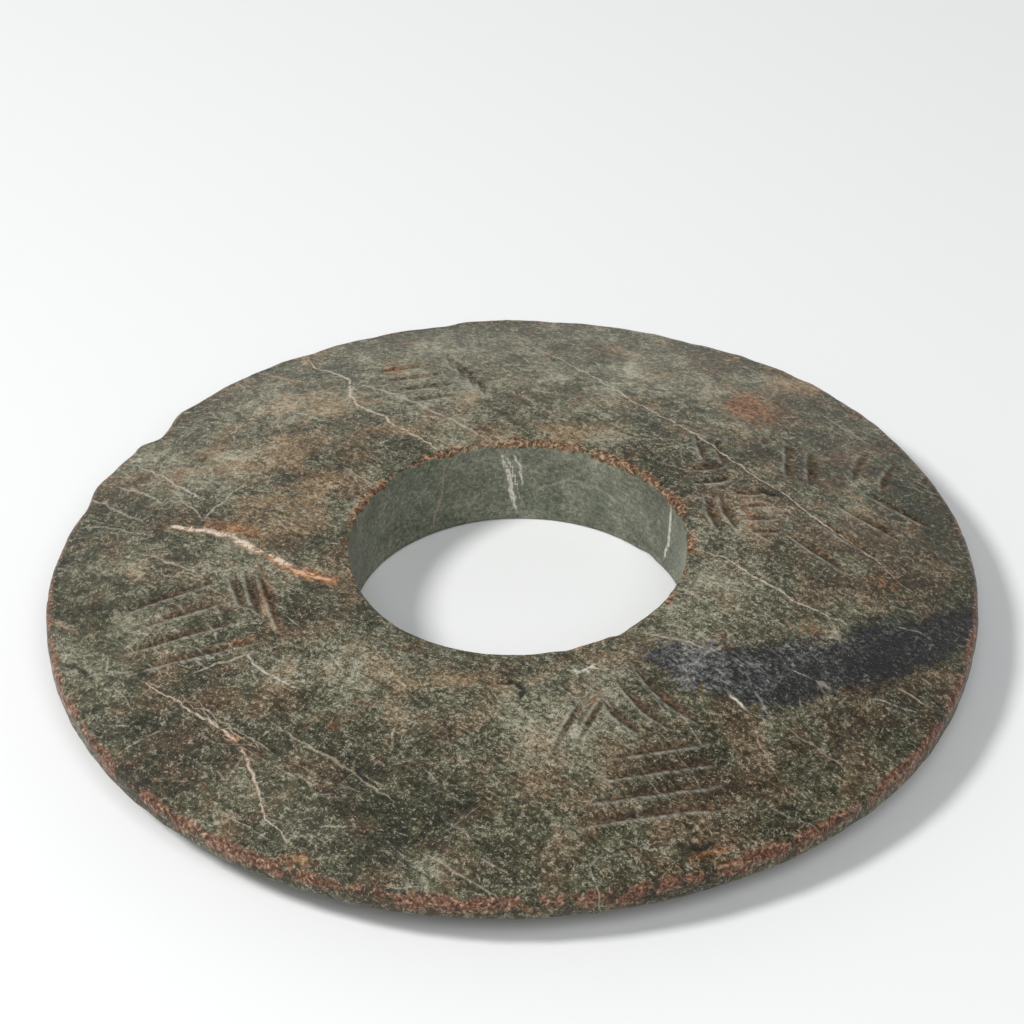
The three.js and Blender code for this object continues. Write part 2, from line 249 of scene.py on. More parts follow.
# Colours of the stone from dark grain to light, as level and linear colour
OLIVE = [
    (0.34, (0.010, 0.010, 0.004)), (0.45, (0.036, 0.036, 0.016)), (0.54, (0.082, 0.080, 0.045)),
    (0.64, (0.19, 0.183, 0.127)), (0.76, (0.41, 0.385, 0.30)),
]
BROWN = [
    (0.34, (0.015, 0.010, 0.004)), (0.45, (0.053, 0.036, 0.017)), (0.54, (0.108, 0.076, 0.040)),
    (0.64, (0.215, 0.17, 0.105)), (0.76, (0.42, 0.35, 0.245)),
]
OCHRE = [(0.38, (0.070, 0.042, 0.017)), (0.52, (0.22, 0.135, 0.058)), (0.68, (0.44, 0.33, 0.19))]
RUST = [(0.38, (0.062, 0.026, 0.012)), (0.5, (0.225, 0.095, 0.038)), (0.64, (0.44, 0.245, 0.115))]
# The hole's wall: its own green, painted lighter to stand for light bounced off the floor into the
# hole
WALL_GREEN_AND_BOUNCE_LIGHT = [(0.3, (0.060, 0.070, 0.046)), (0.5, (0.165, 0.180, 0.130)), (0.7, (0.32, 0.33, 0.26))]
BAND_BLACK = [
    (0.42, (0.006, 0.0065, 0.0075)), (0.56, (0.016, 0.017, 0.019)),
    (0.66, (0.096, 0.097, 0.095)), (0.8, (0.31, 0.305, 0.28)),
]
CRUST_BROWN = [
    (0.38, (0.040, 0.018, 0.009)), (0.5, (0.17, 0.080, 0.040)), (0.62, (0.42, 0.29, 0.175)),
]
RIM_RED = [
    (0.36, (0.020, 0.010, 0.007)), (0.46, (0.10, 0.034, 0.018)), (0.56, (0.23, 0.105, 0.055)),
    (0.70, (0.48, 0.36, 0.27)),
]
STROKE_DIRT = [
    (0.48, (0.016, 0.011, 0.007)), (0.62, (0.062, 0.040, 0.022)), (0.76, (0.18, 0.100, 0.052)),
]
PALE_FLECK = (0.44, 0.41, 0.32)
BLACK_SPECK = (0.012, 0.010, 0.008)
CLEFT_BLACK = (0.010, 0.011, 0.008)
# The pale lip on one side of each stroke: partly worn stone, partly a painted highlight on the
# groove's edge
WORN_LIP_AND_HIGHLIGHT = (0.33, 0.325, 0.27)
PALE_SCRATCH = (0.42, 0.40, 0.33)

# The edge and the core of a vein, each from its whitest to its most orange
VEIN_EDGE = ((0.36, 0.34, 0.27), (0.50, 0.19, 0.07))
VEIN_CORE = ((0.62, 0.60, 0.52), (0.74, 0.56, 0.40))

# Fibres of the stone: heading in degrees and how long they are for their width
FIBRE_HEADING = -42
FIBRE_STRETCH = 3.2

# From right to left, where the band begins to turn grey and where it is greyest
BAND_GREY_FROM = 66
BAND_GREY_TO = 34


def smooth_step(low, high, value):
    share = np.clip((value - low) / (high - low), 0, 1)
    return share * share * (3 - 2 * share)


def mixed(first, second, share):
    return first + (second - first) * share


def dents_at(dents, angle):
    """How far a list of dents pulls the surface in at an angle in degrees."""
    total = np.zeros_like(angle)
    for middle, depth, before, after in dents:
        away = (angle - middle + 180) % 360 - 180
        reach = np.abs(away) / np.where(away < 0, before, after)
        total += depth * np.clip(1 - reach * reach, 0, 1) ** 2
    return total


def fall(radius):
    """0 on the level ring, rising to 1 where the rim starts to round over."""
    share = (radius - LEVEL_RADIUS) / (OUTER_RADIUS - RIM_ROUNDING - LEVEL_RADIUS)
    return np.clip(share, 0, 1) ** FACE_FALL


def top_height(radius):
    return mixed(THICKNESS, RIM_LIFT + RIM_THICKNESS, fall(radius))


def underside_height(radius):
    return RIM_LIFT * fall(radius)


def hole_reach(angle):
    """Distance from the origin to the hole's edge at an angle in degrees."""
    radians = np.radians(angle)
    along = HOLE_SHIFT[0] * np.cos(radians) + HOLE_SHIFT[1] * np.sin(radians)
    across = HOLE_SHIFT[1] * np.cos(radians) - HOLE_SHIFT[0] * np.sin(radians)
    return along + np.sqrt(HOLE_RADIUS**2 - across**2) + dents_at(HOLE_DENTS, angle)


def section_rows(angle):
    """The closed section as rows of (radius, height), each for every angle: up the rim, in
    over the top face, down the wall of the hole and out under the underside."""
    middle = OUTER_RADIUS - dents_at(OUTLINE_DENTS, angle) - RIM_ROUNDING
    hole = hole_reach(angle)
    upper_edge = HOLE_ROUNDING + dents_at(UPPER_HOLE_CHIPS, angle)
    lower_edge = HOLE_ROUNDING + dents_at(LOWER_HOLE_CHIPS, angle)
    high = top_height(middle) - RIM_ROUNDING
    low = underside_height(middle) + RIM_ROUNDING
    rows = []
    for turn in np.linspace(-math.pi / 2, 0, ROUNDING_ROWS + 1):
        rows.append((middle + RIM_ROUNDING * math.cos(turn), low + RIM_ROUNDING * math.sin(turn)))
    for share in np.linspace(0, 1, RIM_SIDE_ROWS + 2)[1:-1]:
        rows.append((middle + RIM_ROUNDING, mixed(low, high, share)))
    for turn in np.linspace(0, math.pi / 2, ROUNDING_ROWS + 1):
        rows.append((middle + RIM_ROUNDING * math.cos(turn), high + RIM_ROUNDING * math.sin(turn)))
    for share in np.linspace(0, 1, TOP_ROWS + 1)[1:]:
        radius = mixed(middle, hole + upper_edge, share)
        rows.append((radius, top_height(radius)))
    for turn in np.linspace(0, math.pi / 2, ROUNDING_ROWS)[1:]:
        rows.append((hole + upper_edge * (1 - math.sin(turn)),
                     THICKNESS - upper_edge * (1 - math.cos(turn))))
    for share in np.linspace(0, 1, WALL_ROWS + 1)[1:]:
        rows.append((hole, mixed(THICKNESS - upper_edge, lower_edge, share)))
    for turn in np.linspace(0, math.pi / 2, ROUNDING_ROWS)[1:]:
        rows.append((hole + lower_edge * (1 - math.cos(turn)), lower_edge * (1 - math.sin(turn))))
    for share in np.linspace(0, 1, UNDERSIDE_ROWS + 1)[1:-1]:
        radius = mixed(hole + lower_edge, middle, share)
        rows.append((radius, underside_height(radius)))
    return rows


def plain_disc():
    """A bmesh of the disc's worn form, before any carving or pitting."""
    angle = np.arange(COLUMNS) * 360 / COLUMNS
    rows = section_rows(angle)
    radius = np.array([row[0] * np.ones(COLUMNS) for row in rows])
    height = np.array([row[1] * np.ones(COLUMNS) for row in rows])
    radians = np.radians(angle)
    points = np.stack([radius * np.cos(radians), radius * np.sin(radians), height], axis=2)
    count = len(rows)
    row, column = np.meshgrid(np.arange(count), np.arange(COLUMNS), indexing="ij")
    next_row = (row + 1) % count
    next_column = (column + 1) % COLUMNS
    faces = np.stack([
        row * COLUMNS + column, row * COLUMNS + next_column,
        next_row * COLUMNS + next_column, next_row * COLUMNS + column,
    ], axis=2).reshape(-1, 4)
    mesh = bpy.data.meshes.new("bi_disc_stone")
    mesh.from_pydata(points.reshape(-1, 3).tolist(), [], faces.tolist())
    return mesh


def all_strokes():
    """Every stroke as (start, direction, length, weight, bend)."""
    strokes = []
    for angle, across, rows in STROKE_PLACES:
        radius = HOLE_RADIUS + across * RING_WIDTH
        middle = radius * np.array([math.cos(math.radians(angle)), math.sin(math.radians(angle))])
        for start, step, length, heading, turn, growth, count, weight, bend in rows:
            for index in range(count):
                first = middle + RING_WIDTH * (np.array(start) + index * np.array(step))
                radians = math.radians(heading + index * turn)
                direction = np.array([math.cos(radians), math.sin(radians)])
                reach = RING_WIDTH * length * growth**index
                strokes.append((first, direction, reach, weight, bend))
    return strokes


def stroke_reach(points, stroke):
    """Share along a stroke, and distance to its left, of points on the face."""
    start, direction, length, _, bend = stroke
    left = np.array([-direction[1], direction[0]])
    share = (points - start) @ direction / length
    sway = bend * length * np.sin(math.pi * np.clip(share, 0, 1))
    return share, (points - start) @ left - sway


def noise_at(points, size, seed, octaves=3):
    """Smooth noise, about -1 to 1, whose main swell is size millimetres."""
    shift = Vector((seed * 17.3, seed * 5.1, seed * 29.7))
    values = [
        noise.fractal(Vector(point) / size + shift, 1.0, 2.0, octaves) for point in points.tolist()
    ]
    return np.array(values)


def carve(points, rough):
    """Depth of the strokes at points on the top face, with how far inside a stroke each
    point is and how near to a stroke's pale lip, partly worn and partly a painted highlight."""
    depth = np.zeros(len(points))
    inside = np.zeros(len(points))
    lip = np.zeros(len(points))
    for stroke in all_strokes():
        weight = stroke[3]
        share, away = stroke_reach(points, stroke)
        taper = np.sqrt(np.sin(math.pi * np.clip(share, 0.001, 0.999)))
        taper = taper * ((share > 0) & (share < 1))
        half = STROKE_WIDTH / 2 * weight * np.maximum(taper, 0.05) * (1 + 0.35 * rough)
        reach = np.abs(away) / half
        profile = smooth_step(0, 1, 1 - reach) * taper
        depth = np.maximum(depth, STROKE_DEPTH * weight * profile * (1 + 0.3 * rough))
        inside = np.maximum(inside, taper * (1 - smooth_step(0.6, 1.25, reach)))
        # The pale lip runs on one side only: partly wear, partly a painted highlight
        edge = np.exp(-(((away + half) / LIP_WIDTH) ** 2)) * taper
        lip = np.maximum(lip, edge)
    return depth, inside, lip * (1 - inside)


def open_clefts(points, rough):
    """How far open the clefts are at points on the top face, from 0 to 1."""
    field = line_field(points, CLEFTS)
    gap = np.abs(field[:, 0] + 0.4 * rough) / np.maximum(field[:, 1], 0.01)
    return np.clip(1 - gap, 0, 1) * field[:, 2]


def refine_near_strokes(mesh):
    """Splits the top face's quads that a stroke runs through."""
    stone = bmesh.new()
    stone.from_mesh(mesh)
    points = np.array([vertex.co[:] for vertex in stone.verts])
    flat = points[:, :2]
    near = np.zeros(len(points), bool)
    for stroke in all_strokes():
        share, away = stroke_reach(flat, stroke)
        near |= (np.abs(away) < STROKE_WIDTH * stroke[3]) & (share > -0.05) & (share < 1.05)
    near &= points[:, 2] > RIM_LIFT + RIM_THICKNESS - 0.1
    stone.verts.ensure_lookup_table()
    edges = [
        edge for edge in stone.edges
        if near[edge.verts[0].index] and near[edge.verts[1].index]
    ]
    bmesh.ops.subdivide_edges(stone, edges=edges, cuts=1, use_grid_fill=True)
    bmesh.ops.triangulate(stone, faces=[face for face in stone.faces if len(face.verts) > 4])
    stone.to_mesh(mesh)
    stone.free()


def stain_field(points, stains):
    total = np.zeros(len(points))
    for x, y, half_length, half_width, heading, strength in stains:
        radians = math.radians(heading)
        along = (points[:, 0] - x) * math.cos(radians) + (points[:, 1] - y) * math.sin(radians)
        across = (points[:, 1] - y) * math.cos(radians) - (points[:, 0] - x) * math.sin(radians)
        reach = (along / half_length) ** 2 + (across / half_width) ** 2
        total = np.maximum(total, strength * np.exp(-0.7 * reach))
    return total


def line_field(points, lines):
    """For the nearest line: signed distance, half width, strength and warmth. The sign
    changes across the line, so that the distance stays exact between vertices."""
    nearest = np.full(len(points), 1e3)
    field = np.zeros((len(points), 4))
    for corners, half_width, strength, warmth in lines:
        corners = np.array(corners, float)
        lengths = np.linalg.norm(np.diff(corners, axis=0), axis=1)
        passed = 0
        for start, end, length in zip(corners[:-1], corners[1:], lengths):
            way = (end - start) / length
            along = np.clip((points - start) @ way, 0, length)
            offset = points - start - along[:, None] * way
            distance = np.hypot(offset[:, 0], offset[:, 1])
            side = np.sign(way[0] * (points[:, 1] - start[1]) - way[1] * (points[:, 0] - start[0]))
            to_end = np.minimum(passed + along, lengths.sum() - passed - along)
            fade = smooth_step(0, min(3, lengths.sum() / 3), to_end)
            closer = distance < nearest
            nearest[closer] = distance[closer]
            field[closer, 0] = (side * distance)[closer]
            share = np.clip((passed + along) / lengths.sum(), 0, 1)
            field[closer, 1] = (half_width * (0.35 + 0.5 * np.sin(math.pi * share)))[closer]
            field[closer, 2] = (strength * fade)[closer]
            field[closer, 3] = warmth
            passed += length
    field[:, 2] *= 1 - smooth_step(1.6, 3, nearest)
    return field


def hair_lines():
    """Fine straight scratches and hair veins, most of them running down to the right."""
    chance = np.random.default_rng(HAIR_SEED)
    lines = []
    for _ in range(HAIRS):
        radius = math.sqrt(chance.uniform((HOLE_RADIUS + 1.5) ** 2, (OUTER_RADIUS - 2) ** 2))
        angle = chance.uniform(0, math.tau)
        middle = radius * np.array([math.cos(angle), math.sin(angle)])
        heading = math.radians(
            chance.normal(HAIR_HEADING, HAIR_HEADING_SPREAD)
            if chance.random() < SHARE_OF_ALIGNED_HAIRS else chance.uniform(0, 180)
        )
        half = chance.uniform(1, 7) * np.array([math.cos(heading), math.sin(heading)])
        strength = chance.uniform(0.25, 0.8)
        lines.append(([middle - half, middle + half], chance.uniform(0.16, 0.3), strength, 0.1))
    return lines


def band_gap(points, height):
    """Distance inside the edges of the dark band, negative outside it."""
    x, upper, lower = np.array(BAND_EDGES, float).T
    depth = top_height(np.hypot(points[:, 0], points[:, 1])) - height
    y = points[:, 1] - BAND_LEAN * depth
    gap = np.minimum(np.interp(points[:, 0], x, upper) - y, y - np.interp(points[:, 0], x, lower))
    return np.minimum(gap, points[:, 0] - x[0]) * 0.85


def add_floats(mesh, name, values):
    attribute = mesh.attributes.new(name, "FLOAT", "POINT")
    attribute.data.foreach_set("value", np.asarray(values, np.float32))


def add_vectors(mesh, name, values):
    attribute = mesh.attributes.new(name, "FLOAT_VECTOR", "POINT")
    attribute.data.foreach_set("vector", np.asarray(values, np.float32).ravel())


def vertex_array(mesh, key, owner="vertices"):
    values = np.zeros(len(mesh.vertices) * 3, np.float32)
    getattr(mesh, owner).foreach_get(key, values)
    return values.reshape(-1, 3).astype(float)


def shape_and_paint(mesh):
    """Moves the vertices of the plain disc into its worn and carved surface, and stores on
    each vertex what the stone looks like there."""
    points = vertex_array(mesh, "co")
    normals = vertex_array(mesh, "vector", "vertex_normals")
    flat = points[:, :2]
    radius = np.hypot(flat[:, 0], flat[:, 1])
    angle = np.degrees(np.arctan2(flat[:, 1], flat[:, 0]))
    height = points[:, 2].copy()
    radial = (normals[:, :2] * flat).sum(axis=1) / radius
    top = smooth_step(0.5, 0.85, normals[:, 2])
    wall = smooth_step(0.4, 0.8, -radial)
    rim_reach = OUTER_RADIUS - dents_at(OUTLINE_DENTS, angle) - radius
    hole_gap = radius - hole_reach(angle)
    near_rim = 1 - smooth_step(1.5, 5, rim_reach)
    crust = (1 - smooth_step(0.3, 3.2, hole_gap)) * smooth_step(THICKNESS - 2.2, THICKNESS, height)
    crust *= 0.85 + 0.45 * np.cos(np.radians(angle - 65))

    swell = noise_at(points, 34, 1)
    ripple = noise_at(points, 9, 2)
    grit = noise_at(points, 2.2, 3, 2)
    nibble = noise_at(points, 4.5, 4, 3)
    rough = noise_at(points, 5, 5, 2)
    strokes, inside, lip = carve(flat, rough)
    clefts = open_clefts(flat, rough)
    strokes = np.maximum(strokes, CLEFT_DEPTH * clefts)

    resting = (points[:, 2] < 0.5) & (normals[:, 2] < 0)
    push = SWELL * swell + RIPPLE * ripple + GRIT * grit
    push += near_rim * (NIBBLE * nibble - 0.05) + crust * (NIBBLE * nibble + 0.05 * grit)
    push -= wall * (WALL_SWELL * swell + WALL_RIPPLE * ripple)
    push[resting] = -np.abs(push[resting]) * 0.3
    points += normals * (push - strokes * top)[:, None]
    points[:, 2] = np.maximum(points[:, 2], 0)

    mesh.vertices.foreach_set("co", (points * MM).astype(np.float32).ravel())
    for name, stains in STAINS.items():
        add_floats(mesh, name, stain_field(flat, stains) * top)
    add_floats(mesh, "stroke", inside * top)
    add_floats(mesh, "lip", lip * top)
    add_floats(mesh, "cleft", smooth_step(0, 0.45, clefts) * top)
    add_floats(mesh, "wall", wall)
    add_floats(mesh, "crust", crust)
    ruddy = (1 - smooth_step(0.4, 2.6, rim_reach)) * smooth_step(RIM_LIFT + 1, RIM_LIFT + 4, height)
    add_floats(mesh, "rim", ruddy)
    add_floats(mesh, "band", band_gap(flat, points[:, 2]))

    veins = line_field(flat, VEINS)
    round_hole = np.stack([angle * HOLE_RADIUS * math.pi / 180, points[:, 2]], axis=1)
    wall_lines = [
        ([(((a + 180) % 360 - 180) * HOLE_RADIUS * math.pi / 180, z) for a, z in corners], *rest)
        for corners, *rest in WALL_VEINS
    ]
    on_wall = wall > 0.5
    veins[on_wall] = line_field(round_hole, wall_lines)[on_wall]
    add_vectors(mesh, "vein", veins[:, :3])
    add_floats(mesh, "vein_warmth", veins[:, 3])
    hairs = line_field(flat, hair_lines())
    hairs[:, 2] *= 1 - wall
    add_vectors(mesh, "hair", hairs[:, :3])


class Graph:
    """Short calls for the nodes of one material."""

    def __init__(self, name):
        self.material = bpy.data.materials.new(name)
        self.material.use_nodes = True
        self.tree = self.material.node_tree
        self.tree.nodes.clear()

    def node(self, kind, **settings):
        made = self.tree.nodes.new(kind)
        for key, value in settings.items():
            setattr(made, key, value)
        return made

    def feed(self, socket, value):
        if isinstance(value, bpy.types.NodeSocket):
            self.tree.links.new(value, socket)
        elif isinstance(value, tuple) and len(value) == 3 and socket.type == "RGBA":
            socket.default_value = (*value, 1)
        else:
            socket.default_value = value

    def math(self, operation, first, second=0.0):
        made = self.node("ShaderNodeMath", operation=operation)
        self.feed(made.inputs[0], first)
        self.feed(made.inputs[1], second)
        return made.outputs[0]

    def vector_math(self, operation, first, second):
        made = self.node("ShaderNodeVectorMath", operation=operation)
        self.feed(made.inputs[0], first)
        self.feed(made.inputs[1], second)
        return made.outputs[0]

    def ramp(self, value, low, high, to_low=0.0, to_high=1.0):
        made = self.node("ShaderNodeMapRange", interpolation_type="SMOOTHSTEP")
        for socket, given in zip(made.inputs, (value, low, high, to_low, to_high)):
            self.feed(socket, given)
        return made.outputs[0]

    def mix(self, share, first, second):
        made = self.node("ShaderNodeMix", data_type="RGBA")
        self.feed(made.inputs[0], share)
        self.feed(made.inputs[6], first)
        self.feed(made.inputs[7], second)
        return made.outputs[2]

    def over(self, colour, layer, share, strength):
        """A colour with a layer laid over it, by a share of a strength."""
        return self.mix(self.math("MULTIPLY", share, strength), colour, layer)

    def noise(self, point, scale, detail, roughness):
        made = self.node("ShaderNodeTexNoise")
        self.feed(made.inputs["Vector"], point)
        made.inputs["Scale"].default_value = scale
        made.inputs["Detail"].default_value = detail
        made.inputs["Roughness"].default_value = roughness
        return made.outputs["Fac"]

    def attribute(self, name):
        return self.node("ShaderNodeAttribute", attribute_name=name).outputs["Fac"]

    def attribute_parts(self, name):
        made = self.node("ShaderNodeSeparateXYZ")
        source = self.node("ShaderNodeAttribute", attribute_name=name)
        self.feed(made.inputs[0], source.outputs["Vector"])
        return made.outputs

    def colours(self, value, stops):
        """A colour that runs through stops of (position, colour)."""
        made = self.node("ShaderNodeValToRGB")
        self.feed(made.inputs[0], value)
        elements = made.color_ramp.elements
        while len(elements) < len(stops):
            elements.new(0.5)
        for element, (position, colour) in zip(elements, stops):
            element.position = position
            element.color = (*colour, 1)
        return made.outputs[0]

    def turned(self, point, degrees, stretch):
        """The point in a frame turned about Z, drawn out along its first axis."""
        made = self.node("ShaderNodeMapping")
        self.feed(made.inputs["Vector"], point)
        made.inputs["Rotation"].default_value = (0, 0, math.radians(-degrees))
        return self.vector_math("MULTIPLY", made.outputs[0], (1 / stretch, 1, 1))

    def moved(self, point, x, y, z):
        return self.vector_math("ADD", point, (x, y, z))

    def blend(self, share, first, second):
        made = self.node("ShaderNodeMix", data_type="FLOAT")
        self.feed(made.inputs[0], share)
        self.feed(made.inputs[2], first)
        self.feed(made.inputs[3], second)
        return made.outputs[0]

    def swing(self, base, parts):
        """A base value with weighted noises added that each swing about a half."""
        total = base
        for value, weight in parts:
            swung = self.math("MULTIPLY", self.math("SUBTRACT", value, 0.5), weight)
            total = self.math("ADD", total, swung)
        return total

    def plus(self, base, parts):
        """A base value with weighted shares added."""
        total = base
        for value, weight in parts:
            total = self.math("ADD", total, self.math("MULTIPLY", value, weight))
        return total

    def stirred(self, point, scale, amount):
        """The point pushed about by a coarser noise, so that patterns flow."""
        made = self.node("ShaderNodeTexNoise")
        self.feed(made.inputs["Vector"], point)
        made.inputs["Scale"].default_value = scale
        made.inputs["Detail"].default_value = 1
        push = self.vector_math("SUBTRACT", made.outputs["Color"], (0.5, 0.5, 0.5))
        push = self.vector_math("MULTIPLY", push, (amount, amount, amount))
        return self.vector_math("ADD", point, push)


def drawn_line(graph, field, wobble, softness=0.6):
    """How strongly a line of a signed-distance field shows: 1 on its middle."""
    gap = graph.math("ABSOLUTE", graph.math("ADD", field[0], wobble))
    share = graph.math("DIVIDE", gap, field[1])
    return graph.math("MULTIPLY", graph.ramp(share, 1 + softness, 1 - softness), field[2])


def thread_lines(graph, point, scale, width):
    """Thin winding lines along the middle level of a noise."""
    level = graph.math("ABSOLUTE", graph.math("SUBTRACT", graph.noise(point, scale, 2, 0.5), 0.5))
    return graph.ramp(level, width, width * 0.25)


def stone_noises(graph):
    """The noises that the stone's looks share, sized in waves per millimetre."""
    place = graph.node("ShaderNodeTexCoord").outputs["Object"]
    point = graph.vector_math("MULTIPLY", place, (1 / MM, 1 / MM, 1 / MM))
    wide_flow = graph.stirred(point, 0.1, 9)
    fine_flow = graph.stirred(point, 0.5, 2)
    fibres = graph.stirred(graph.turned(point, FIBRE_HEADING, FIBRE_STRETCH), 0.35, 1.6)
    return SimpleNamespace(
        point=point,
        fine_flow=fine_flow,
        clouds=graph.noise(point, 0.045, 2, 0.5),
        mottle=graph.noise(wide_flow, 0.16, 4, 0.68),
        tint=graph.noise(graph.moved(wide_flow, 300, 40, 90), 0.1, 3, 0.6),
        grain=graph.noise(fine_flow, 1.1, 3, 0.7),
        fibre=graph.noise(fibres, 1.1, 2, 0.65),
        fine=graph.noise(graph.moved(point, 50, 70, 20), 2.8, 2, 0.65),
        patch=graph.noise(graph.moved(point, -60, 15, 45), 0.62, 4, 0.7),
    )


def grain_level(graph, noises, marks):
    """How light the grain is at a place: its own speckle, moved up or down by the stains, and calmer
    and paler where a sheen is painted.
    """
    speckled = graph.swing(0.49, [
        (noises.grain, 0.55), (noises.fibre, 0.38), (noises.fine, 0.28), (noises.mottle, 0.4),
        (noises.clouds, 0.35),
    ])
    # Calmer and paler grain, used where the sheen of the back is painted in
    calmer = graph.swing(0.56, [
        (noises.grain, 0.32), (noises.fibre, 0.24), (noises.mottle, 0.66), (noises.clouds, 0.35),
    ])
    level = graph.blend(graph.math("MULTIPLY", marks.sleek, 0.8), speckled, calmer)
    return graph.plus(level, [
        (marks.pale, 0.08), (marks.tan, 0.055), (marks.russet, -0.015), (marks.dark, -0.05),
    ])


def ground_colour(graph, noises, marks, level):
    """Olive stone that turns brown and ochre in its stained places."""
    brown_share = graph.plus(noises.tint, [
        (marks.tan, 0.12), (marks.russet, 0.13), (marks.pale, -0.05), (marks.dark, -0.05),
        (marks.sleek, -0.05),
    ])
    olive = graph.colours(level, OLIVE)
    brown = graph.colours(level, BROWN)
    colour = graph.mix(graph.ramp(brown_share, 0.44, 0.62), olive, brown)
    ochre_share = graph.math("MULTIPLY", marks.tan, graph.ramp(noises.tint, 0.4, 0.6))
    return graph.over(colour, graph.colours(level, OCHRE), ochre_share, 0.55)


def pale_grain(graph, noises, marks, level):
    """Where crisp pale flecks and threads lie."""
    fleck_level = graph.plus(noises.fine, [
        (noises.grain, 0.9), (marks.pale, 0.05), (marks.dark, -0.04), (marks.sleek, -0.06),
        (noises.mottle, 0.2),
    ])
    flecks = graph.ramp(fleck_level, 1.17, 1.31)
    threads = thread_lines(graph, noises.fine_flow, 0.85, 0.045)
    thready = graph.ramp(graph.plus(noises.patch, [(level, 0.6)]), 0.76, 0.9)
    return graph.math("MAXIMUM", flecks, graph.math("MULTIPLY", threads, thready))


def with_specks(graph, noises, marks, light, colour):
    """Adds the pale grain, and small nearly black and rusty specks."""
    colour = graph.over(colour, PALE_FLECK, light, 0.6)
    black = graph.ramp(graph.plus(noises.patch, [(noises.fine, 0.25)]), 0.5, 0.42)
    colour = graph.over(colour, BLACK_SPECK, black, 0.55)
    rust_level = graph.plus(noises.patch, [
        (noises.tint, 0.35), (marks.rust, 0.36), (noises.fine, 0.2),
    ])
    rust = graph.colours(noises.grain, RUST)
    return graph.over(colour, rust, graph.ramp(rust_level, 0.88, 1.08), 0.8)


def with_band(graph, noises, marks, level, light, colour):
    """Adds the blue-black band, its near end spotted with pale grey."""
    ragged = graph.math("ADD", marks.band, graph.ramp(noises.patch, 0.3, 0.7, -2.6, 2.6))
    in_band = graph.ramp(ragged, -0.5, 0.9)
    parts = graph.node("ShaderNodeSeparateXYZ")
    graph.feed(parts.inputs[0], noises.point)
    greyness = graph.ramp(parts.outputs["X"], BAND_GREY_FROM, BAND_GREY_TO, 0, 0.15)
    band = graph.colours(graph.math("ADD", level, greyness), BAND_BLACK)
    covered = graph.math("SUBTRACT", 0.98, graph.math("MULTIPLY", light, 0.3))
    return graph.over(colour, band, in_band, covered)


def with_strokes(graph, noises, marks, colour):
    """Adds brown dirt in the strokes, a pale lip beside them that is partly wear and partly a
    painted highlight, and the dark clefts.
    """
    dirt_share = graph.math("MULTIPLY", marks.stroke, graph.ramp(noises.patch, 0.3, 0.62, 0.6, 0.95))
    dirt = graph.colours(graph.plus(noises.grain, [(noises.tint, 0.2)]), STROKE_DIRT)
    colour = graph.over(colour, dirt, dirt_share, graph.ramp(marks.sleek, 0, 1, 1, 0.55))
    # Pale lip beside the strokes, partly a painted highlight
    colour = graph.over(colour, WORN_LIP_AND_HIGHLIGHT, marks.lip, graph.ramp(noises.fibre, 0.38, 0.58, 0.2, 0.9))
    return graph.over(colour, CLEFT_BLACK, marks.cleft, 0.92)


def with_veins(graph, noises, colour):
    """Adds the pale veins, whose edges are warmer than their cores."""
    wobble = graph.ramp(graph.noise(noises.point, 0.28, 2, 0.5), 0.25, 0.75, -0.42, 0.42)
    drawn = drawn_line(graph, graph.attribute_parts("vein"), wobble)
    share = graph.math("MULTIPLY", drawn, graph.ramp(noises.grain, 0.36, 0.5, 0.5, 1))
    warmth = graph.attribute("vein_warmth")
    core_share = graph.ramp(graph.math("MULTIPLY", share, share), 0.3, 0.8)
    vein = graph.mix(core_share, graph.mix(warmth, *VEIN_EDGE), graph.mix(warmth, *VEIN_CORE))
    return graph.over(colour, vein, share, 0.9)


def scratch_share(graph, noises):
    """How strongly the fine scratches show."""
    wobble = graph.ramp(graph.noise(noises.point, 0.2, 1, 0.5), 0.2, 0.8, -0.4, 0.4)
    drawn = drawn_line(graph, graph.attribute_parts("hair"), wobble)
    return graph.math("MULTIPLY", drawn, graph.ramp(noises.patch, 0.4, 0.56, 0.2, 1))


